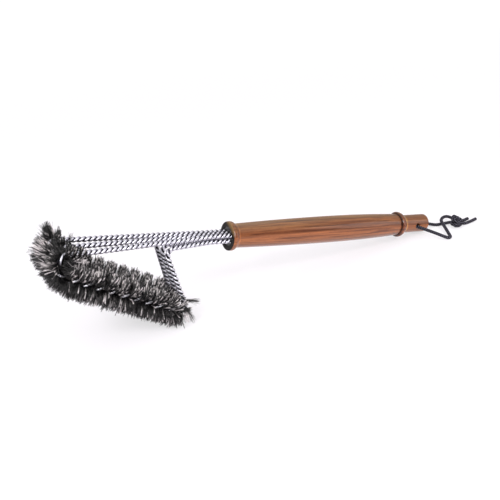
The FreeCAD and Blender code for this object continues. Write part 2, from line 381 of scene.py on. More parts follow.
def stained_end_material():
    """Near-black stained end grain on the handle's front face, worn bare at its top left."""
    material, tree, shader = new_material("stained_end_grain")
    mm = design_coordinates(tree)
    rings = noise(tree, stretched(tree, mm, (0.2, 0.9, 0.9)), 1.0, 4.0, 0.6, 0.8)
    fleck = noise(tree, mm, 2.8, 2.0, 0.6)
    stain = ramp(tree, rings, [(0.35, (0.005, 0.004, 0.004)), (0.65, (0.016, 0.013, 0.011))])
    flecks = ramp(tree, fleck, [(0.45, (0.8, 0.8, 0.8)), (0.7, (1.5, 1.4, 1.3))])
    axes = separated(tree, mm)
    near_top = math_node(tree, "SUBTRACT", axes["Z"], math_node(tree, "MULTIPLY", axes["Y"], 0.5))
    bare = map_range(tree, scaled(tree, rings, 5.0, near_top), 12.0, 17.0)
    colour = mix_colours(tree, bare, tinted(tree, stain, flecks, 0.6), (0.200, 0.118, 0.045, 1.0))
    set_inputs(tree, shader, {
        "Base Color": colour, "Roughness": scaled(tree, fleck, 0.2, 0.5),
        "Normal": bump(tree, rings, 0.4, 0.0002), "Specular IOR Level": 0.2})
    return material


def resin_material():
    """Dark cured resin with a slightly uneven skin."""
    material, tree, shader = new_material("cured_resin")
    waves = noise(tree, design_coordinates(tree), 0.5, 3.0, 0.5)
    colour = ramp(tree, waves, [(0.35, (0.005, 0.004, 0.005)), (0.7, (0.013, 0.011, 0.011))])
    set_inputs(tree, shader, {
        "Base Color": colour, "Roughness": scaled(tree, waves, 0.3, 0.2),
        "Normal": bump(tree, waves, 0.5, 0.0004)})
    return material


def wire_material():
    """Bright drawn steel wire: faint draw marks and dull patches, with painted shade in the
    groove where two strands meet, deeper low down, near the bristles, and painted dark reflections
    along the edges seen at a grazing angle."""
    material, tree, shader = new_material("bright_steel_wire")
    position = resting_coordinates(tree)
    groove = attribute(tree, "groove")
    patches = noise(tree, position, 220.0, 3.0, 0.6)
    marks = noise(tree, position, 2600.0, 2.0, 0.6)
    steel_tone = ramp(tree, patches, [(0.3, (0.60, 0.59, 0.64)), (0.55, (0.76, 0.755, 0.80)),
                                      (0.8, (0.86, 0.855, 0.90))])
    # painted shade in the groove between the strands, deeper low down near the bristles
    groove_shade = ramp(tree, groove, [(0.0, (0.94, 0.93, 0.96)), (0.34, (0.78, 0.77, 0.80)),
                                (0.58, (0.20, 0.18, 0.22)), (0.78, (0.03, 0.027, 0.036))])
    deep_groove_shade = ramp(tree, groove, [(0.0, WHITE), (0.14, (1.0, 0.99, 1.0)),
                                (0.30, (0.34, 0.33, 0.35)), (0.44, (0.03, 0.026, 0.03))])
    low = map_range(tree, separated(tree, design_coordinates(tree))["Z"], -6.0, -12.0)
    # painted dark reflection along the edges, where the wire is seen at a grazing angle
    facing = add_node(tree, "ShaderNodeLayerWeight", {"Blend": 0.5}).outputs["Facing"]
    grazing_edge_shade = ramp(tree, facing, [(0.5, WHITE), (0.8, (0.24, 0.23, 0.27))])
    colour = tinted(tree, steel_tone, mix_colours(tree, low, groove_shade, deep_groove_shade))
    set_inputs(tree, shader, {
        "Base Color": tinted(tree, colour, grazing_edge_shade), "Roughness": scaled(tree, patches, 0.16, 0.22),
        "Normal": bump(tree, marks, 0.12, 0.00005), "Metallic": 1.0})
    return material


def bristle_material():
    """Fine steel filaments, with painted shade: near-black at the core, greyer and paler towards
    the tips. Filaments with a pale shade are painted glints.
    """
    material, tree, shader = new_material("steel_bristles")
    # painted shade, darkest at the core where the filaments crowd round the wire
    tone = ramp(tree, attribute(tree, "along"), [
        (0.0, (0.014, 0.0135, 0.0135)), (0.3, (0.045, 0.043, 0.043)),
        (0.6, (0.10, 0.096, 0.096)), (1.0, (0.12, 0.116, 0.116))])
    # each filament's own colour, with the pale end painting the glint of filaments that catch the
    # light
    shade = ramp(tree, attribute(tree, "shade"), [
        (0.0, (0.02, 0.019, 0.02)), (0.35, (0.29, 0.28, 0.275)),
        (0.62, (4.8, 4.6, 4.55)), (1.0, (8.4, 8.1, 8.05))])
    set_inputs(tree, shader, {
        "Base Color": tinted(tree, tone, shade), "Metallic": 0.1, "Roughness": 0.32})
    return material


def cord_material():
    """Black braided cord with a faint blue-violet cast, painted shade in the gaps between the
    plaits and painted highlights on their crowns.
    """
    material, tree, shader = new_material("braided_cord")
    fibres = noise(tree, resting_coordinates(tree), 2400.0, 2.0, 0.7)
    # painted shade in the gaps between the plaits and painted highlights on their crowns
    plaits = ramp(tree, attribute(tree, "raised"), [
        (0.45, (0.0006, 0.0006, 0.0008)), (0.70, (0.0025, 0.0023, 0.0035)),
        (0.95, (0.120, 0.112, 0.145))])
    fuzz = ramp(tree, fibres, [(0.3, (0.75, 0.75, 0.75)), (0.7, (1.3, 1.3, 1.35))])
    set_inputs(tree, shader, {
        "Base Color": tinted(tree, plaits, fuzz, 0.7), "Roughness": 0.55,
        "Normal": bump(tree, fibres, 0.3, 0.0001), "Specular IOR Level": 0.12})
    return material


# ---- handle ----

BORE_RADIUS = 9.6
BORE_DEPTH = 45.0
CORD_HOLE_RADIUS = 3.0
COLLAR_CROWN_AT = 3.0
COLLAR_RADIUS = 14.95
COLLAR_END = 7.3
NECK_END = 9.0
NECK_RADIUS = 12.3
GRIP_PEAK_AT = 132.0
GRIP_RADIUS = 14.5
GRIP_END = 218.6
GRIP_REAR_RADIUS = 12.2
RING_CROWN_AT = 221.0
RING_RADIUS = 14.45
RING_END = 226.8
RING_REAR_RADIUS = 11.6
TAIL_RADIUS = 10.25
TAIL_ROUND = 3.6
BORE_END_RADIUS = 0.02
HANDLE_SIDES = 160
HOLE_SIDES = 48
DRILL_REACH = 20.0
STAIN_DEPTH = 0.6
SHARP_ANGLE = 40.0


def crown_arc(crown_at, crown, end_at, end, count):
    """Points of an arc that is level at its crown and falls away to its end."""
    run = end_at - crown_at
    fall = crown - end
    radius = (run ** 2 + fall ** 2) / (2 * fall)
    across = np.linspace(0.0, run, count)
    return [(crown_at + x, crown - radius + math.sqrt(radius ** 2 - x ** 2)) for x in across]


def handle_outline():
    """Outline of the turned handle from the bottom of its bore to the middle of its tail,
    as pairs of a distance along the handle and a radius."""
    outline = [(BORE_DEPTH, BORE_END_RADIUS), (BORE_DEPTH, BORE_RADIUS), (0.5, BORE_RADIUS)]
    outline += [(0.15, BORE_RADIUS + 0.15), (0.0, BORE_RADIUS + 0.5)]
    outline += [(0.0, 11.5), (0.0, 13.6), (0.0, 14.15), (0.08, 14.35), (0.3, 14.5)]
    outline += crown_arc(COLLAR_CROWN_AT, COLLAR_RADIUS, 0.5, 14.6, 7)[::-1]
    outline += crown_arc(COLLAR_CROWN_AT, COLLAR_RADIUS, COLLAR_END, NECK_RADIUS, 16)[1:]
    outline += [(7.5, 12.2), (8.2, 12.22), (8.6, 12.3)]
    outline += crown_arc(GRIP_PEAK_AT, GRIP_RADIUS, NECK_END, NECK_RADIUS, 60)[::-1]
    outline += crown_arc(GRIP_PEAK_AT, GRIP_RADIUS, GRIP_END, GRIP_REAR_RADIUS, 44)[1:]
    outline += [(219.0, 11.95), (219.35, 12.0), (219.5, 12.6), (219.95, 13.6), (220.3, 14.15)]
    outline += crown_arc(RING_CROWN_AT, RING_RADIUS, RING_END, RING_REAR_RADIUS, 16)
    outline += [(226.95, 11.1), (227.15, 10.5), (227.6, 10.1), (228.2, 10.2)]
    outline += [(229.0, TAIL_RADIUS)]
    round_at = HANDLE_LENGTH - TAIL_ROUND
    outline += [(at, TAIL_RADIUS) for at in np.linspace(231.0, round_at, 20)]
    for angle in np.linspace(0.0, math.pi / 2, 12)[1:]:
        outline.append((round_at + TAIL_ROUND * math.sin(angle),
                        TAIL_RADIUS - TAIL_ROUND + TAIL_ROUND * math.cos(angle)))
    outline += [(HANDLE_LENGTH, 3.5), (HANDLE_LENGTH, BORE_END_RADIUS)]
    return np.array(outline)


def make_handle(wood, stained):
    """Turned handle, stained on its front face and in its bore, with a hole for the cord."""
    outline = handle_outline()
    angles = np.arange(HANDLE_SIDES) * 2 * math.pi / HANDLE_SIDES
    rings = np.stack([
        np.broadcast_to(outline[:, :1], (len(outline), HANDLE_SIDES)),
        outline[:, 1:] * np.cos(angles),
        outline[:, 1:] * np.sin(angles)], -1)
    handle = new_piece("turned_handle", rings.reshape(-1, 3),
                       capped_faces(len(outline), HANDLE_SIDES), "brush", ["handle"])
    handle.data.materials.append(wood)
    handle.data.materials.append(stained)
    stain_end = place([[STAIN_DEPTH, 0.0, 0.0]])[0]
    bore_faces = 2 * HANDLE_SIDES
    for face in handle.data.polygons:
        in_front = (np.array(face.center) - stain_end) @ along_handle < 0
        if in_front or face.index < bore_faces:
            face.material_index = 1

    drill_points, drill_faces = tube(
        np.array([[CORD_HOLE_AT, -DRILL_REACH, 0.0], [CORD_HOLE_AT, DRILL_REACH, 0.0]]),
        CORD_HOLE_RADIUS, HOLE_SIDES, (1.0, 0.0, 0.0))
    drill = new_piece("drill", drill_points, drill_faces, "brush")
    cut = handle.modifiers.new("cord_hole", "BOOLEAN")
    cut.operation = "DIFFERENCE"
    cut.solver = "EXACT"
    cut.object = drill
    apply_modifiers(handle)
    bpy.data.objects.remove(drill)
    handle.data.shade_smooth()
    handle.data.set_sharp_from_angle(angle=math.radians(SHARP_ANGLE))


# ---- twisted wires ----

WIRE_SPACING = 5.7
STRAND_RADIUS = 1.36
STRAND_OFFSET = 1.4
ROW_STRAND_OFFSET = 1.85
ROW_OFFSET_RUN = 4.0
STRAND_SIDES = 16
TWIST_PITCH = 10.05
ROW_TWIST_PITCH = 26.0
PATH_STEP = 0.4
EMBEDMENT = 40.0
FAN_START = -20.8
FRONT_CORNER = np.array([-214.0, 23.5, -1.1])
REAR_CORNER = np.array([-44.3, 18.5, -71.6])
BRACE_TOP = np.array([-72.0, 12.3, -4.1])
WIRE_BENDS = (60.0, 10.7, 5.5, 7.0, 60.0)
SIDES = {"left": -1, "centre": 0, "right": 1}

# where row_span looks: a place on the outgoing run, a height that only the leg and the
# brace go below, a place on the leg past the front bend, and the cosine of the angle by
# which a straight run's heading may differ
OUTGOING_AT = -120.0
LEG_BELOW = -25.0
LEG_PAST_FRONT = 60.0
STRAIGHT_COSINE = 0.9995


def rod_path(side):
    """Centre line of one wire, as in the design: out along the upper layer, round the
    front bend, back as the bristle leg, up the brace and home along the lower layer."""
    mirror = np.array([1.0, side, 1.0])
    spread = side * WIRE_SPACING
    layer = WIRE_SPACING / 2
    corners = [(EMBEDMENT, spread, layer), (FAN_START, spread, layer), FRONT_CORNER * mirror,
               REAR_CORNER * mirror, BRACE_TOP * mirror, (FAN_START, spread, -layer),
               (EMBEDMENT, spread, -layer)]
    return rounded_path(corners, WIRE_BENDS, PATH_STEP)


def row_span(path):
    """Indices where a wire's front bend starts and where its straight bristle leg ends."""
    headings = headings_of(path)
    far_off = np.where(path[:, 2] < LEG_BELOW, np.inf, np.abs(path[:, 0] - OUTGOING_AT))
    outgoing = np.argmin(far_off)
    foremost = np.argmin(path[:, 0])
    leg = headings[foremost + int(LEG_PAST_FRONT / PATH_STEP)]
    start = outgoing + np.argmax(headings[outgoing:] @ headings[outgoing] < STRAIGHT_COSINE)
    end = np.nonzero(headings @ leg > STRAIGHT_COSINE)[0][-1]
    return start, end


def twist_frames(path):
    """Headings, two directions across the path and the left-handed twist angle. Within the
    bristle row the bristles between the strands keep the twist loose."""
    headings = headings_of(path)
    across = np.array([0.0, 1.0, 0.0])
    first = unit(across - headings * (headings @ across)[:, None])
    second = np.cross(headings, first)
    start, end = row_span(path)
    index = np.arange(len(path))
    in_row = np.clip(index, start, end) - start
    turns = PATH_STEP * ((index - in_row) / TWIST_PITCH + in_row / ROW_TWIST_PITCH)
    return headings, first, second, -2 * math.pi * turns


def strand_offsets(path):
    """Distance of the strands from the wire's middle; the bristles hold them apart."""
    start, end = row_span(path)
    index = np.arange(len(path))
    from_ends = np.minimum(index - start, end - index) * PATH_STEP
    inside = np.clip(from_ends / ROW_OFFSET_RUN, 0.0, 1.0)
    return STRAND_OFFSET + (ROW_STRAND_OFFSET - STRAND_OFFSET) * inside


def make_strand(name, path, start_angle, material):
    """One strand of a wire. Its attribute groove is 0 outside and 1 where it faces the other, and
    places the painted shade between the strands.
    """
    _, first, second, angles = twist_frames(path)
    angles = (angles + start_angle)[:, None]
    outward = first * np.cos(angles) + second * np.sin(angles)
    centres = path + outward * strand_offsets(path)[:, None]
    points, faces = tube(centres, STRAND_RADIUS, STRAND_SIDES)
    strand = new_piece(name.replace("strand", "wound"), points, faces, "brush", [name])
    strand.data.materials.append(material)
    normals = (points.reshape(len(path), STRAND_SIDES, 3) - centres[:, None]) / STRAND_RADIUS
    inward = -(normals * outward[:, None]).sum(-1)
    set_attribute(strand.data, "groove", inward.reshape(-1) * 0.5 + 0.5)
    return strand


# ---- bristles ----

# One row. Distances are in mm and angles in radians. Shares are of the full length or
# radius, and a tuft's spread along the wire is in steps of the wire's path.
BRISTLES_PER_ROW = 27000
BRISTLES_PER_TUFT = 5
BRISTLE_RADIUS = 0.14
RADIUS_SHARES = (0.8, 1.2)
BRISTLE_LENGTH = 16.9
LENGTH_SHARES = (0.94, 1.03)
TUFT_LENGTH_SHARE = 0.94
TUFT_LENGTH_SPREAD = 0.08
TUFT_SPREAD_STEPS = 0.4
TUFT_LEAN = 0.05
TUFT_BOW = 7.0
FAN_SPREAD = 0.66
FAN_LIMIT = 1.2
TIP_ANGLE_SPREAD = 0.014
DIRECTION_SPREAD = 0.010
BOW_SPREAD = 0.12
TIP_TAPER = 0.35
ROW_RINGS = 2
STRAY_RINGS = 4
TABLE_CLEARANCE = 0.25

# the parting of the fans on both flanks, where the rows are pressed together
PARTING = 0.40
PARTED_TUFTS = 0.74
PARTING_RUN = 28.0

# pale tufts paint the glints of filaments that catch the light: their share by how far a tuft
# points up, as painted light from above, and fewer of them near the front bend
PALE_UPWARD = (-0.9, -0.2, 0.3, 1.0)
PALE_SHARES = (0.11, 0.09, 0.15, 0.22)
BEND_PALE = -0.09
BEND_PALE_REACH = 30.0
PALE_THICKER = 1.35
PALE_SHADES = (0.65, 1.0)
DARKEST_TO = 0.42
SHADE_SPREAD = 0.06
BEND_SHADE = 0.75
BEND_SHADE_RUN = 40.0

# the row's ends, by the distance from where the front bend starts and to the leg's end
ROW_LEAD_IN = {"left": 15.0, "centre": 3.0, "right": 3.0}
LENGTH_PLACES = (-15.0, -3.0, 9.0, 31.0, 41.0)
LENGTHS_THERE = (0.30, 0.55, 0.74, 0.88, 1.0)
BEND_LENGTH_SPREAD = 0.07
BEND_LENGTH_REACH = 35.0
ROW_SWEEP = 0.26
SWEEP_PLACES = (15.0, 45.0)
END_SWEEP_RUN = 20.0
END_SPLAYS = (-0.1, 0.55)
END_SPLAY_REACH = 5.0


def filaments(roots, directions, bows, lengths, radii, rings):
    """Points, faces and attributes of many thin three-sided tapering filaments. A
    filament runs from its root along its direction and bows aside towards its tip."""
    count = len(roots)
    share = np.linspace(0.0, 1.0, rings)
    spine = (roots[:, None] + directions[:, None] * (share[None, :, None] * lengths[:, None, None])
             + bows[:, None] * (share ** 2)[None, :, None])
    below = table_height(spine)
    spine = spine + up_in_design * np.maximum(TABLE_CLEARANCE - below, 0.0)[..., None]
    not_parallel = directions[:, [2, 0, 1]] + [0.0, 0.1, 0.3]
    side = unit(np.cross(directions, not_parallel))
    other = np.cross(directions, side)
    angles = np.arange(3) * 2 * math.pi / 3
    ring = (side[:, None] * np.cos(angles)[None, :, None]
            + other[:, None] * np.sin(angles)[None, :, None])
    taper = 1.0 - TIP_TAPER * share
    points = (spine[:, :, None] + ring[:, None] * taper[None, :, None, None]
              * radii[:, None, None, None])
    one = np.array(grid_faces(rings, 3))
    first_of = np.arange(count)[:, None, None] * (3 * rings)
    quads = (first_of + one[None]).reshape(-1, 4)
    tip = (rings - 1) * 3
    caps = first_of[:, 0] + np.array([[tip, tip + 1, tip + 2]])
    along = np.broadcast_to(share[None, :, None], (count, rings, 3)).reshape(-1)
    return points.reshape(-1, 3), quads, caps, along


def bristle_piece(name, sets, material, replaces):
    """One mesh of several sets of filaments, each a tuple of filaments() arguments
    followed by the shade of each filament."""
    points, quads, caps, along, shades = [], [], [], [], []
    start = 0
    for *shape, shade in sets:
        set_points, set_quads, set_caps, set_along = filaments(*shape)
        points.append(set_points)
        quads.append(set_quads + start)
        caps.append(set_caps + start)
        along.append(set_along)
        shades.append(np.repeat(shade, 3 * shape[-1]))
        start += len(set_points)
    faces = np.concatenate(quads).tolist() + np.concatenate(caps).tolist()
    piece = new_piece(name, np.concatenate(points), faces, "brush", replaces)
    set_attribute(piece.data, "along", np.concatenate(along))
    set_attribute(piece.data, "shade", np.concatenate(shades))
    piece.data.materials.append(material)


def tuft_angles(angles, from_bend, count):
    """Angles round the wire at which tufts leave the strands and at which their tips lie.
    They leave on two arms that turn with the twist, and fan out from them."""
    arm_angle = angles + rng.integers(0, 2, count) * math.pi
    fan = np.clip(rng.normal(0.0, FAN_SPREAD, count), -FAN_LIMIT, FAN_LIMIT)
    tip_angle = arm_angle + fan
    from_flank = (tip_angle + math.pi / 2) % math.pi - math.pi / 2
    parting = PARTING * np.clip(from_bend / PARTING_RUN, 0.5, 1.0)
    parting = parting * (rng.random(count) < PARTED_TUFTS)
    tip_angle += np.sign(from_flank) * parting * (1.0 - np.abs(from_flank) / (math.pi / 2))
    return arm_angle, tip_angle


def tuft_shades(upward, from_bend, count):
    """Which tufts are pale, as painted glints, and each tuft's shade from 0 to 1, darker near the
    front bend.
    """
    # pale tufts are painted glints, commoner on tufts pointing up as painted light from above
    pale_share = np.interp(upward, PALE_UPWARD, PALE_SHARES)
    pale_share += BEND_PALE * np.exp(-(from_bend / BEND_PALE_REACH) ** 2)
    pale = rng.random(count) < pale_share
    shade = np.where(pale, rng.uniform(*PALE_SHADES, count),
                     DARKEST_TO * rng.random(count) ** 1.5)
    return pale, shade * np.interp(from_bend, (0.0, BEND_SHADE_RUN), (BEND_SHADE, 1.0))


def tuft_length_shares(from_bend, count):
    """Each tuft's length as a share of a full bristle, less even at the front bend."""
    shares = rng.normal(TUFT_LENGTH_SHARE, TUFT_LENGTH_SPREAD, count)
    uneven = np.exp(-(from_bend / BEND_LENGTH_REACH) ** 2)
    return shares + rng.normal(0.0, BEND_LENGTH_SPREAD, count) * uneven


def across_path(first, second, angles):
    """Directions across a path at angles round it."""
    angles = angles[:, None]
    return first * np.cos(angles) + second * np.sin(angles)


def row_filaments(path, lead_in, count):
    """Filaments of one row, gathered in tufts, between two places on its wire. They leave
    from between the two strands, so they follow the twist round as a ribbon."""
    headings, first, second, angles = twist_frames(path)
    start, end = row_span(path)
    tufts = count // BRISTLES_PER_TUFT
    tuft_at = rng.uniform(start - lead_in / PATH_STEP, end, tufts)
    tuft_index = tuft_at.astype(int)
    from_bend = (tuft_at - start) * PATH_STEP
    to_end = (end - tuft_at) * PATH_STEP
    arm_angle, tip_angle = tuft_angles(angles[tuft_index], from_bend, tufts)
    upward = across_path(first[tuft_index], second[tuft_index], tip_angle) @ up_in_design
    pale, tuft_shade = tuft_shades(upward, from_bend, tufts)
    tuft_length = tuft_length_shares(from_bend, tufts)
    tuft_lean = rng.normal(0.0, TUFT_LEAN, (tufts, 3))

    of = np.repeat(np.arange(tufts), BRISTLES_PER_TUFT)
    index = (tuft_at[of] + rng.normal(0.0, TUFT_SPREAD_STEPS, len(of))).astype(int)
    own_tip_angle = tip_angle[of] + rng.normal(0.0, TIP_ANGLE_SPREAD, len(of))
    roots = path[index] + ROW_STRAND_OFFSET * across_path(first[index], second[index],
                                                          arm_angle[of])
    lengths = BRISTLE_LENGTH * tuft_length[of] * rng.uniform(*LENGTH_SHARES, len(of))
    lengths *= np.interp(from_bend[of], LENGTH_PLACES, LENGTHS_THERE)
    tips = path[index] + lengths[:, None] * across_path(first[index], second[index],
                                                        own_tip_angle)

    # the tufts lean back along the row, against the heading, and splay out at its end
    sweep = np.interp(from_bend, SWEEP_PLACES, (0.0, 1.0))
    sweep = sweep * np.clip(to_end / END_SWEEP_RUN - 0.5, -0.4, 1.0)
    splay = rng.uniform(*END_SPLAYS, tufts) * np.exp(-to_end / END_SPLAY_REACH)
    swept = headings[tuft_index] * (splay - ROW_SWEEP * sweep)[:, None] + tuft_lean
    own_spread = rng.normal(0.0, DIRECTION_SPREAD, (len(of), 3))
    direction = unit(unit(tips - roots) + swept[of] + own_spread)
    lengths = np.linalg.norm(tips - roots, axis=1)
    bows = tuft_lean[of] * TUFT_BOW + rng.normal(0.0, BOW_SPREAD, (len(of), 3))
    radii = BRISTLE_RADIUS * rng.uniform(*RADIUS_SHARES, len(of))
    radii = radii * np.where(pale[of], PALE_THICKER, 1.0)
    shade = np.clip(tuft_shade[of] + rng.normal(0.0, SHADE_SPREAD, len(of)), 0.0, 1.0)
    return roots, direction, bows, lengths, radii, ROW_RINGS, shade


def make_row(name, path, material):
    """One bristle row with the tufts that stand out of it."""
    sets = [row_filaments(path, ROW_LEAD_IN[name], BRISTLES_PER_ROW)]
    sets += [stray_tuft(*stray) for stray in STRAYS[name]]
    bristle_piece(name + "_bristle_row", sets, material, [name + "_bristles"])


STRAY_WIDTH = 0.5
STRAY_BOW = 4.0
STRAY_BOW_SPREAD = 0.3
STRAY_LENGTH_SHARES = (0.62, 1.04)
STRAY_SHADE_SPREAD = 0.14


def stray_tuft(root, tip, count, spread, shade):
    """Tuft of filaments that stands out of its row, from its root to its tip."""
    root, tip = np.array(root), np.array(tip)
    length = np.linalg.norm(tip - root)
    lean = rng.normal(0.0, spread, (count, 3))
    direction = unit((tip - root) / length + lean)
    roots = root + rng.normal(0.0, STRAY_WIDTH, (count, 3))
    bows = lean * STRAY_BOW + rng.normal(0.0, STRAY_BOW_SPREAD, (count, 3))
    lengths = length * rng.uniform(*STRAY_LENGTH_SHARES, count)
    radii = BRISTLE_RADIUS * rng.uniform(*RADIUS_SHARES, count)
    shades = np.clip(rng.normal(shade, STRAY_SHADE_SPREAD, count), 0.0, 1.0)
    return roots, direction, bows, lengths, radii, STRAY_RINGS, shades


# tufts that stand out of each row: root, tip, number of filaments, spread and shade
STRAYS = {
    "left": [((-174.5, -21.0, -12.0), (-191.0, -16.0, -5.5), 30, 0.14, 0.8),
             ((-164.0, -22.0, -6.0), (-155.0, -27.0, -1.0), 26, 0.14, 0.95),
             ((-158.0, -21.5, -6.0), (-148.0, -25.0, -3.0), 24, 0.14, 0.9),
             ((-51.0, -17.0, -56.5), (-36.0, -25.5, -55.5), 40, 0.07, 0.12),
             ((-48.5, -18.0, -62.5), (-41.0, -28.5, -76.0), 34, 0.09, 0.15),
             ((-49.5, -18.0, -63.5), (-46.5, -27.5, -76.0), 40, 0.18, 0.8),
             # a near-black tuft that paints the shade in the hollow at the rear end of the row
             ((-52.0, -18.0, -63.0), (-58.5, -27.5, -77.5), 230, 0.11, 0.0)],
    "centre": [((-173.5, 0.5, -7.5), (-190.5, 7.5, 3.0), 26, 0.06, 0.95),
               ((-174.0, 0.5, -7.5), (-185.0, 9.5, 9.0), 20, 0.05, 0.9),
               ((-172.5, -0.5, -10.0), (-192.0, 7.0, -2.5), 26, 0.07, 0.9),
               ((-159.0, -0.5, -1.5), (-157.0, 1.5, 13.5), 22, 0.05, 0.05)],
    "right": [((-168.0, 19.0, -2.0), (-173.0, 26.0, 15.5), 170, 0.11, 0.03),
              ((-168.0, 19.0, -2.0), (-175.5, 25.5, 12.5), 90, 0.11, 0.12),
              ((-165.0, 19.5, 1.0), (-169.5, 24.0, 15.0), 44, 0.035, 1.0),
              ((-161.0, 18.0, -1.5), (-162.5, 22.0, 13.0), 24, 0.04, 0.05)]}


# ---- cord ----

CORD_RADIUS = 1.9
CORD_STEP = 0.18
CORD_SIDES = 24
BRAID_PITCH = 4.8
BRAID_PLAITS = 4
BRAID_DEPTH = 0.22
CROSSING_PLAITS = 0.4


def smooth_path(points, step):
    """Catmull-Rom curve through points, as points at even distances."""
    points = np.asarray(points, float)
    padded = np.concatenate([[2 * points[0] - points[1]], points, [2 * points[-1] - points[-2]]])
    share = np.linspace(0.0, 1.0, 40, endpoint=False)[:, None]
    runs = []
    for before, start, end, after in zip(padded, padded[1:], padded[2:], padded[3:]):
        runs.append(0.5 * (2 * start + (end - before) * share
                           + (2 * before - 5 * start + 4 * end - after) * share ** 2
                           + (3 * start - before - 3 * end + after) * share ** 3))
    return resample(np.concatenate(runs + [points[-1:]]), step)


def braided_tube(path):
    """Tube with the raised over-and-under plaits of a braided cord."""
    count = len(path)
    along = np.arange(count)[:, None] * CORD_STEP / BRAID_PITCH * 2 * math.pi
    around = np.arange(CORD_SIDES)[None, :] * 2 * math.pi / CORD_SIDES
    right = np.cos(BRAID_PLAITS * around - BRAID_PLAITS * along / 2)
    left = np.cos(BRAID_PLAITS * around + BRAID_PLAITS * along / 2)
    raised = np.maximum(right, CROSSING_PLAITS * left) * 0.5 + 0.5
    radii = CORD_RADIUS - BRAID_DEPTH + BRAID_DEPTH * raised
    points, faces = tube(path, radii, CORD_SIDES, (0.0, 0.3, 1.0))
    return points, faces, raised.reshape(-1)


def knot_path(ring, lobe, height, turned):
    """Three-lobed overhand knot about the knot's centre. Its radius swings by lobe about
    ring, and turned is its angle in its own plane."""
    angle = np.linspace(0.0, 2 * math.pi, 200)
    radius = ring + lobe * np.cos(3 * angle)
    return np.stack([radius * np.cos(2 * angle + turned), radius * np.sin(2 * angle + turned),
                     height * np.sin(3 * angle)], 1)


# The knot: its centre from the cord hole in the resting frame, the turn of its plane, and
# for its outer and inner turn the ring, lobe and height in mm and the angle.
KNOT_CENTRE = np.array([53.5, -17.5, -6.8])
KNOT_PLANE = np.array(Matrix.Rotation(math.radians(-29.4), 3, "Z")
                      @ Matrix.Rotation(math.radians(24.0), 3, "X"))
KNOT_TURNS = ((5.5, 2.5, 2.5, math.pi / 2), (4.0, 2.0, 2.9, -math.pi / 2))

# the knot is squeezed along the cord, and narrows along it towards the free ends
KNOT_ALONG = np.array([0.87, -0.487, -0.08])
KNOT_SQUEEZE = 0.20
KNOT_TAPER = 0.055
KNOT_TAPER_FROM = -1.0
KNOT_WIDTHS = (0.55, 1.03)


def tied_knot(ring, lobe, height, turned):
    """One turn of the knot, about the knot's centre in the resting frame."""
    knot = knot_path(ring, lobe, height, turned) @ KNOT_PLANE.T
    onward = knot @ KNOT_ALONG
    knot -= np.outer(onward, KNOT_ALONG)
    knot *= np.clip(1.0 - KNOT_TAPER * (onward - KNOT_TAPER_FROM), *KNOT_WIDTHS)[:, None]
    return knot + np.outer(onward * (1.0 - KNOT_SQUEEZE), KNOT_ALONG)


def make_cord(material):
    """Loop through the handle's cross hole, a knot that ties its two ends, and the ends."""
    near_leg = level([(-0.5, -8.0, -0.8), (0.2, -11.6, -1.2), (5.0, -17.6, -3.4),
                      (12.0, -26.5, -6.7), (18.5, -34.6, -10.2), (21.6, -37.7, -11.4),
                      (25.0, -37.0, -11.4), (27.6, -32.8, -11.0), (33.7, -19.8, -8.9),
                      (39.3, -9.1, -8.4), (43.3, -2.4, -8.0), (48.6, 2.0, -8.0),
                      (53.1, 3.6, -8.0), (56.5, 2.8, -8.0), (58.1, -0.4, -8.0),
                      (57.7, -6.0, -7.8), (55.6, -13.0, -7.4)])
    far_leg = level([(55.5, -16.5, -9.0), (52.6, -9.0, -10.4), (42.3, -4.4, -11.4),
                     (35.2, -1.6, -11.4), (28.9, 4.8, -10.4), (22.0, 11.0, -8.4),
                     (13.0, 14.8, -5.0), (5.5, 15.2, -1.8), (1.0, 13.2, -0.2), (0.0, 9.0, 0.0)])
    through = level([(0.0, 9.0, 0.0), (-0.2, 0.0, -0.4), (-0.5, -8.0, -0.8)])
    loop = smooth_path(np.concatenate([far_leg, through[1:-1], near_leg]), CORD_STEP)
    long_end = level([(56.0, -17.0, -9.5), (61.0, -19.2, -10.8), (66.0, -20.1, -11.4),
                      (75.0, -19.6, -11.4), (83.4, -18.2, -11.4)])
    short_end = level([(56.0, -16.5, -8.0), (63.0, -16.4, -9.0), (69.0, -15.0, -9.8),
                       (75.0, -13.4, -10.4)])
    paths = [loop, smooth_path(long_end, CORD_STEP), smooth_path(short_end, CORD_STEP)]
    paths += [resample(level(tied_knot(*turn_shape) + KNOT_CENTRE), CORD_STEP)
              for turn_shape in KNOT_TURNS]
    points, faces, raised = [], [], []
    start = 0
    for path in paths:
        run_points, run_faces, run_raised = braided_tube(path)
        points.append(run_points)
        faces += [[corner + start for corner in face] for face in run_faces]
        raised.append(run_raised)
        start += len(run_points)
    cord = new_piece("braided_hanging_cord", np.concatenate(points), faces, "cord",
                     ["hanging_cord"])
    set_attribute(cord.data, "raised", np.concatenate(raised))
    cord.data.materials.append(material)


# ---- stage, light and camera ----

# the camera's place, the way it looks and its right-hand side, in the design frame
CAMERA_AT = (-327.2, -576.9, 222.4)
CAMERA_AHEAD = (0.4950, 0.8025, -0.3330)
CAMERA_RIGHT = (0.8659, -0.4873, 0.1130)
CAMERA_LENS = 50.46
CAMERA_SENSOR = 36.0
CAMERA_CLIP = 0.02


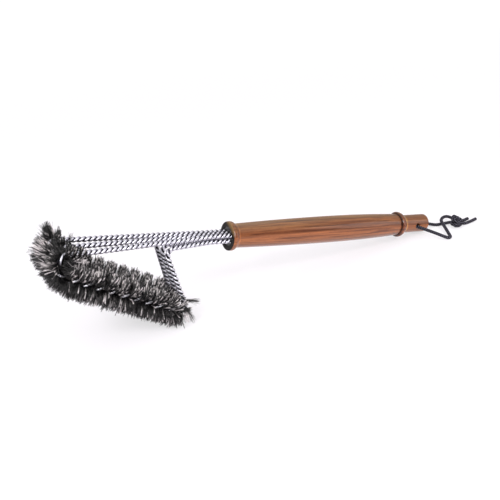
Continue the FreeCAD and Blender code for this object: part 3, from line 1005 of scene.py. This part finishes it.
def make_camera():
    """Camera at the reference view."""
    camera = bpy.data.objects.new("camera", bpy.data.cameras.new("camera"))
    bpy.context.scene.collection.objects.link(camera)
    camera.data.lens = CAMERA_LENS
    camera.data.sensor_width = CAMERA_SENSOR
    camera.data.clip_start = CAMERA_CLIP
    back = Vector(turn([CAMERA_AHEAD])[0]) * -1
    right = Vector(turn([CAMERA_RIGHT])[0])
    up = back.cross(right).normalized()
    right = up.cross(back).normalized()
    axes = Matrix((right, up, back.normalized())).transposed().to_4x4()
    camera.matrix_world = Matrix.Translation(place([CAMERA_AT])[0]) @ axes
    bpy.context.scene.camera = camera


FLOOR_REACH = 6.0
FLOOR_GAP = 0.0002
FLOOR_GLOW = 1.06
GLOW_SHARES = (0.6, 1.0)
GLOW_DISTANCES = (0.5, 2.0)


def floor_material():
    """Pale matt floor. For the camera and in reflections it is partly white glow near the
    brush and wholly so far off, where it meets the white background without an edge."""
    material, tree, shader = new_material("pale_floor")
    set_inputs(tree, shader, {"Base Color": (0.88, 0.82, 0.89, 1.0), "Roughness": 0.9,
                              "Specular IOR Level": 0.0})
    glow = add_node(tree, "ShaderNodeEmission", {"Color": (*WHITE, 1.0), "Strength": FLOOR_GLOW})
    ray = add_node(tree, "ShaderNodeLightPath").outputs
    distance = add_node(tree, "ShaderNodeVectorMath", {0: resting_coordinates(tree)},
                        operation="LENGTH").outputs["Value"]
    seen = math_node(tree, "MAXIMUM", ray["Is Camera Ray"], ray["Is Glossy Ray"])
    share = math_node(tree, "MULTIPLY", seen,
                      map_range(tree, distance, *GLOW_DISTANCES, *GLOW_SHARES))
    mixed = add_node(tree, "ShaderNodeMixShader",
                     {0: share, 1: shader.outputs[0], 2: glow.outputs[0]})
    tree.links.new(mixed.outputs[0], tree.nodes["Material Output"].inputs["Surface"])
    return material


def make_floor():
    """Floor just under the brush."""
    height = cad_box[0][2] - FLOOR_GAP
    corners = [(-FLOOR_REACH, -FLOOR_REACH, height), (FLOOR_REACH, -FLOOR_REACH, height),
               (FLOOR_REACH, FLOOR_REACH, height), (-FLOOR_REACH, FLOOR_REACH, height)]
    mesh = bpy.data.meshes.new("floor")
    mesh.from_pydata(corners, [], [(0, 1, 2, 3)])
    mesh.materials.append(floor_material())
    floor = bpy.data.objects.new("floor", mesh)
    bpy.context.scene.collection.objects.link(floor)


def make_world():
    """Studio that is white for the camera and otherwise brighter above than below."""
    world = bpy.data.worlds.new("studio")
    bpy.context.scene.world = world
    world.use_nodes = True
    tree = world.node_tree
    direction = add_node(tree, "ShaderNodeTexCoord").outputs["Generated"]
    room = ramp(tree, separated(tree, direction)["Z"], [
        (0.0, (0.30, 0.29, 0.32)), (0.35, (0.42, 0.41, 0.44)),
        (0.62, (0.80, 0.80, 0.82)), (1.0, WHITE)])
    seen = add_node(tree, "ShaderNodeLightPath").outputs["Is Camera Ray"]
    set_inputs(tree, tree.nodes["Background"], {
        "Color": mix_colours(tree, seen, room, (*WHITE, 1.0)), "Strength": 0.96})


# soft lights: place, what they point at, width, height and power
MIDDLE = (0.0, 0.0, 0.05)
LIGHTS = {"overhead": ((0.0, 0.1, 1.4), MIDDLE, 3.0, 3.0, 9.0),
          "front": ((0.1, -1.2, 0.78), MIDDLE, 0.5, 1.0, 9.0),
          "left": ((-0.75, -0.45, 0.75), (-0.2, 0.0, 0.05), 0.22, 0.22, 4.8),
          "right": ((0.9, -0.62, 0.32), (-0.1, 0.0, 0.05), 0.5, 0.5, 1.2)}


def make_light(name, location, target, width, height, power):
    """Rectangular light that points at its target."""
    light = bpy.data.lights.new(name, "AREA")
    light.shape = "RECTANGLE"
    light.size = width
    light.size_y = height
    light.energy = power
    lamp = bpy.data.objects.new(name, light)
    bpy.context.scene.collection.objects.link(lamp)
    aim = Vector(target) - Vector(location)
    lamp.location = location
    lamp.rotation_euler = aim.to_track_quat("-Z", "Y").to_euler()


# ---- assembly ----

make_handle(wood_material(), stained_end_material())
resin = frame["nodes"]["bonding_resin"].data
resin.materials.clear()
resin.materials.append(resin_material())
steel = wire_material()
bristle = bristle_material()
for side_name, side in SIDES.items():
    wire_path = rod_path(side)
    make_strand(side_name + "_wire_strand_a", wire_path, math.pi / 2, steel)
    make_strand(side_name + "_wire_strand_b", wire_path, -math.pi / 2, steel)
    make_row(side_name, wire_path, bristle)
make_cord(cord_material())
make_floor()
make_world()
for light_name, light_settings in LIGHTS.items():
    make_light(light_name, *light_settings)
make_camera()
bpy.context.scene.view_settings.view_transform = "Standard"
